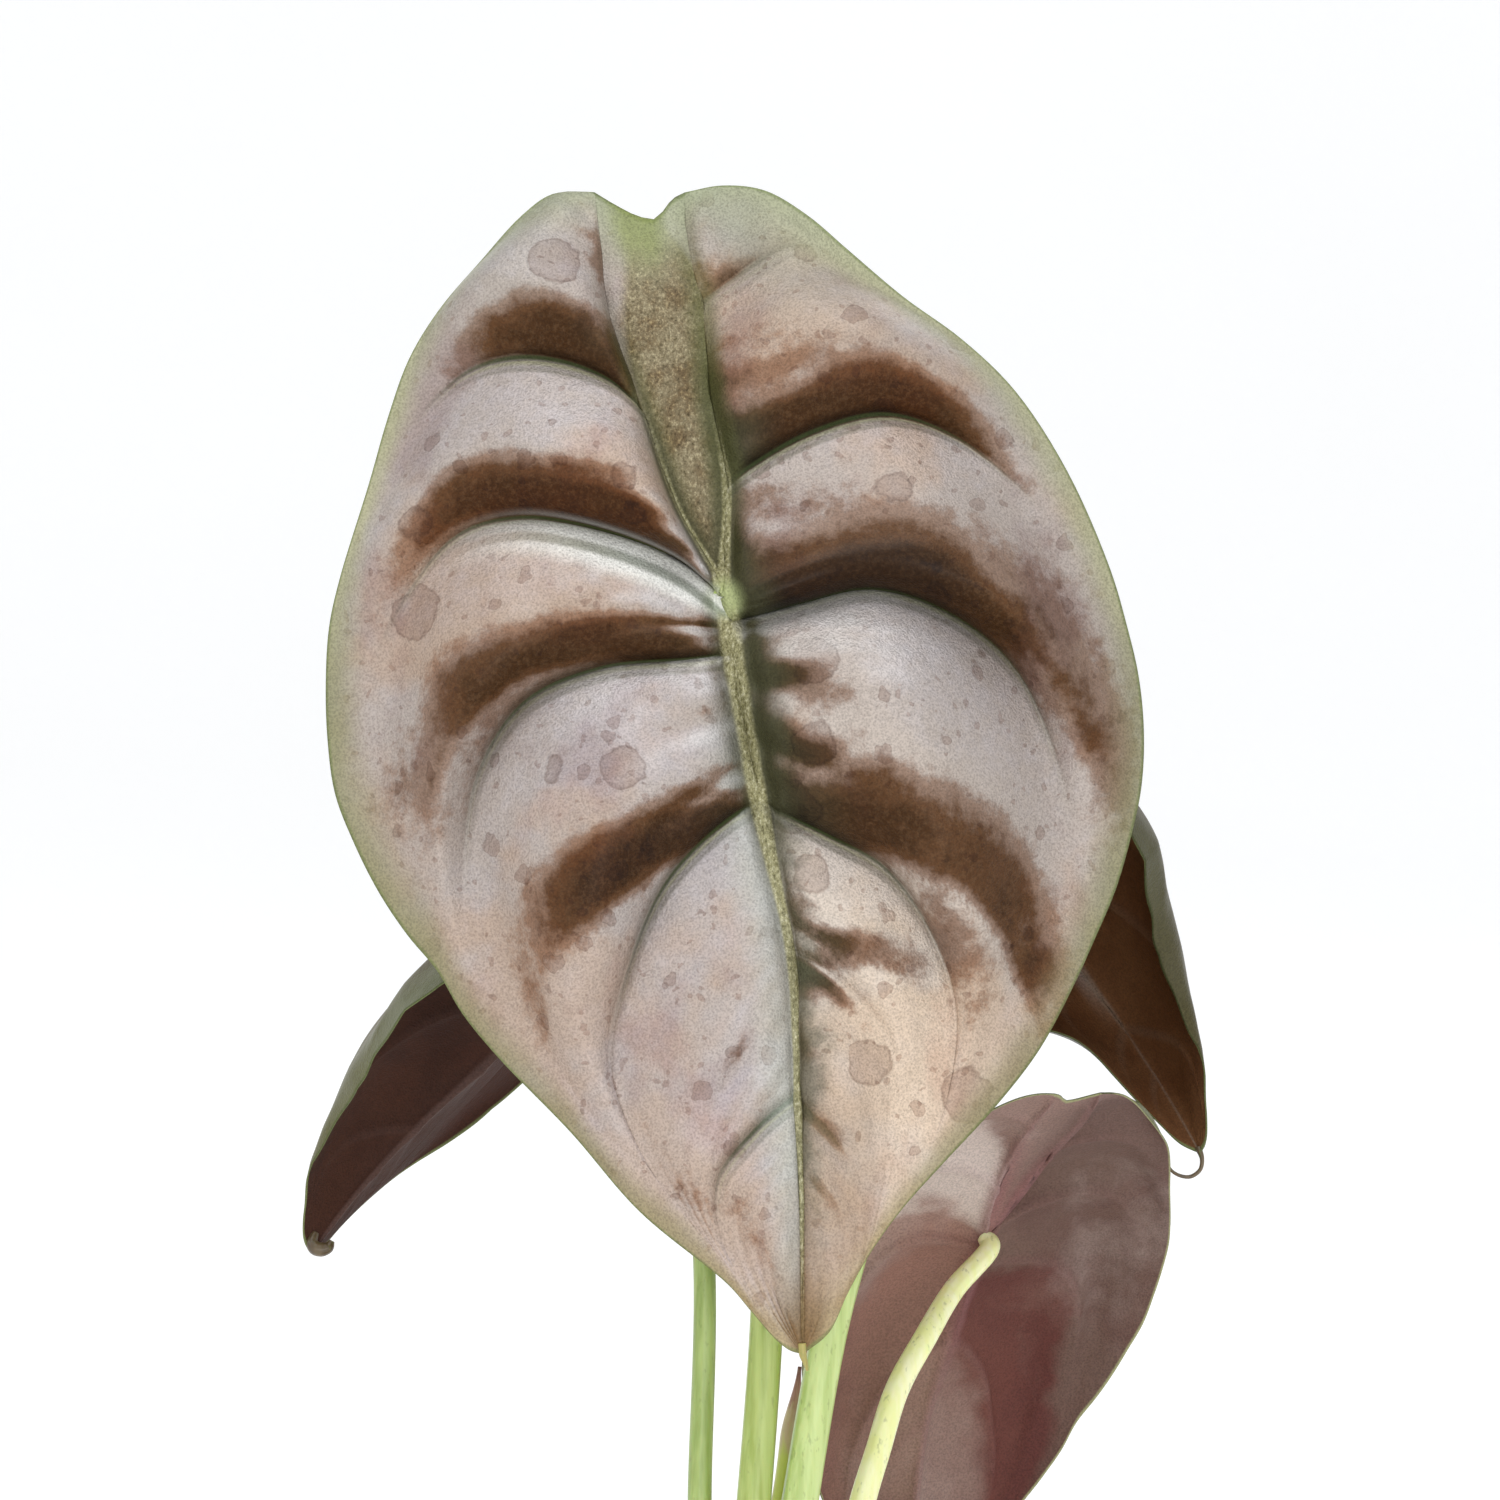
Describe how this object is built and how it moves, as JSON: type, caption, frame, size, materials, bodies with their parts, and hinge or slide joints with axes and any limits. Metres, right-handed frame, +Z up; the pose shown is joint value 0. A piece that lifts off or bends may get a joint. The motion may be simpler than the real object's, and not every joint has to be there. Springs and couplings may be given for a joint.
{
  "type": "potted red secret alocasia",
  "caption": "Potted aroid house plant: a large coppery quilted leaf faces the front, smaller leaves hang behind it, a rolled new leaf stands between the stalks, in a plain clay pot.",
  "frame": {"origin": "middle of the pot's flat underside", "axes": "+Z up along the plant; the main leaf's upper face looks towards -Y; +X to the viewer's right"},
  "size_m": [0.1963, 0.1638, 0.4759],
  "materials": {
    "main_blade": "satin",
    "rear_blade": "satin",
    "lower_blade": "satin",
    "main_stalk": "satin",
    "left_stalk": "satin",
    "right_stalk": "satin",
    "lower_stalk": "satin",
    "new_leaf": "satin",
    "rootstock": "matte",
    "sheath": "matte",
    "soil": "matte",
    "pot": "matte"
  },
  "bodies": {
    "root": {"main_blade": "main_blade", "main_petiole": "main_stalk", "left_blade": "rear_blade", "left_petiole": "left_stalk", "right_blade": "rear_blade", "right_petiole": "right_stalk", "lower_blade": "lower_blade", "lower_petiole": "lower_stalk", "new_leaf": "new_leaf", "rootstock": "rootstock", "sheath_front": "sheath", "sheath_back": "sheath", "soil": "soil", "pot": "pot"}
  },
  "joints": []
}
